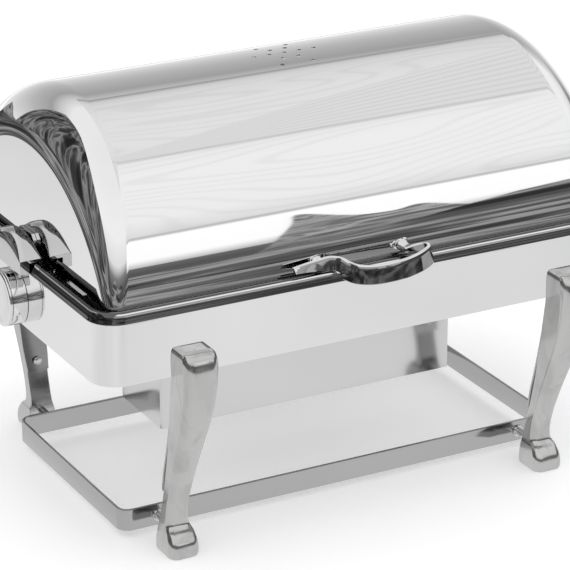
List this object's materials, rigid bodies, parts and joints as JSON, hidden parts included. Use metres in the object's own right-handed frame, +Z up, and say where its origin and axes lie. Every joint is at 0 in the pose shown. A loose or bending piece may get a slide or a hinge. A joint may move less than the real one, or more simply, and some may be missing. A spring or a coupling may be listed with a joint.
{
  "type": "roll-top chafing dish food warmer",
  "caption": "Rectangular food warmer with a half-drum cover that rolls back about its end pivots, standing on curved legs over a strip base ring.",
  "frame": {"origin": "floor level, under the middle of the dish", "axes": "+X along the length to the right seen from the handle side, +Y from the handle side to the back, +Z up"},
  "size_m": [0.638, 0.472, 0.433],
  "materials": {
    "cover_mirror": "mirror-polished stainless steel",
    "collar_mirror": "mirror-polished stainless steel",
    "pan_satin": "satin stainless steel",
    "leg_cast": "polished cast metal with a slightly pitted skin",
    "strap_steel": "bright rolled steel strip",
    "fixing_steel": "plain steel",
    "guard_sheet": "polished sheet steel",
    "handle_polished": "polished cast metal"
  },
  "bodies": {
    "stand": {"base_ring": "strap_steel", "body_collar": "collar_mirror", "end_ledge_left": "pan_satin", "end_ledge_right": "pan_satin", "flame_guard": "guard_sheet", "food_pan": "pan_satin", "front_ledge": "pan_satin", "hinge_saddle_left": "handle_polished", "hinge_saddle_right": "handle_polished", "leg_front_left": "leg_cast", "leg_front_right": "leg_cast", "leg_nut_front_left": "fixing_steel", "leg_nut_front_right": "fixing_steel", "leg_nut_rear_left": "fixing_steel", "leg_nut_rear_right": "fixing_steel", "leg_rear_left": "leg_cast", "leg_rear_right": "leg_cast", "leg_strap_front_left": "strap_steel", "leg_strap_front_right": "strap_steel", "leg_strap_rear_left": "strap_steel", "leg_strap_rear_right": "strap_steel", "pivot_pin_left": "fixing_steel", "pivot_pin_right": "fixing_steel", "ring_stud_front_left": "fixing_steel", "ring_stud_front_right": "fixing_steel", "ring_stud_rear_left": "fixing_steel", "ring_stud_rear_right": "fixing_steel", "side_block_cap_left": "handle_polished", "side_block_cap_right": "handle_polished", "side_block_left": "handle_polished", "side_block_right": "handle_polished", "strap_rivet_front_left": "fixing_steel", "strap_rivet_front_right": "fixing_steel", "strap_rivet_rear_left": "fixing_steel", "strap_rivet_rear_right": "fixing_steel", "water_pan": "pan_satin", "water_pan_front_lip": "pan_satin"},
    "cover": {"roll_cover": "cover_mirror", "hinge_arm_left": "fixing_steel", "hinge_arm_right": "fixing_steel", "front_handle": "handle_polished", "handle_post_left": "handle_polished", "handle_post_right": "handle_polished"}
  },
  "joints": [
    {"name": "cover_roll", "type": "hinge", "parent": "stand", "child": "cover", "pos_m": [0, 0, 0.2495], "axis": [-1, 0, 0], "range_deg": [0, 90]}
  ]
}
